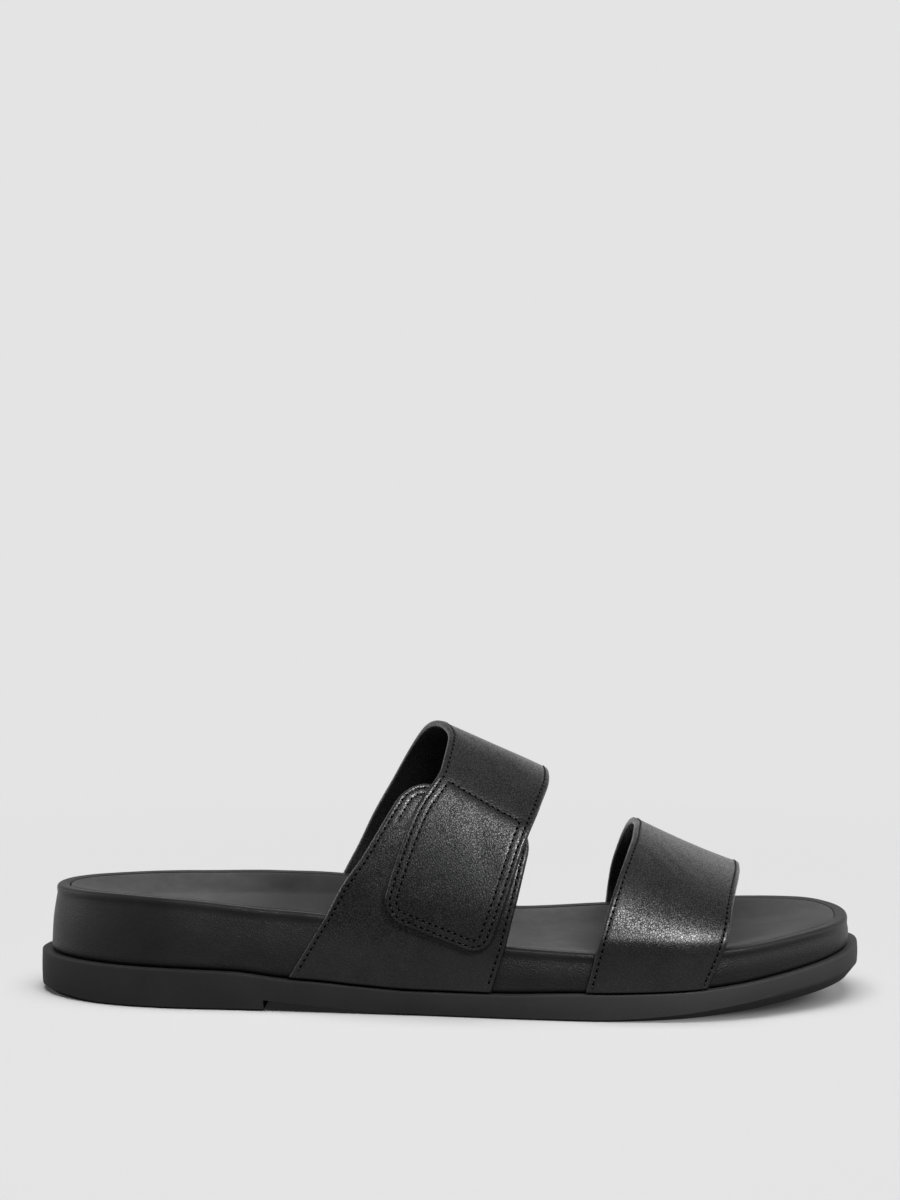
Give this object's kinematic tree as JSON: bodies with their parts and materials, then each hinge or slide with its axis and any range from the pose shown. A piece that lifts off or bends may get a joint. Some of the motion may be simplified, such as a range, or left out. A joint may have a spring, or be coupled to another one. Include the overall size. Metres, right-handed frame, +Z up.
{
  "type": "slide sandal",
  "caption": "Open slide sandal for the right foot: forefoot strap, hook-closing instep strap over a side tab, contoured footbed on a wrapped platform and a rubber outsole with a low heel block.",
  "frame": {"origin": "middle of the bounding box, at the floor", "axes": "+X from heel to toe, +Y to the big toe side, +Z up"},
  "size_m": [0.265, 0.0966, 0.0878],
  "materials": {
    "outsole_rubber": "matte",
    "platform_wrap": "satin",
    "footbed_cover": "matte",
    "strap_leather": "satin"
  },
  "bodies": {
    "root": {"outsole": "outsole_rubber", "midsole": "platform_wrap", "footbed": "footbed_cover", "forefoot_strap": "strap_leather", "closure_tab": "strap_leather", "instep_strap": "strap_leather"}
  },
  "joints": []
}
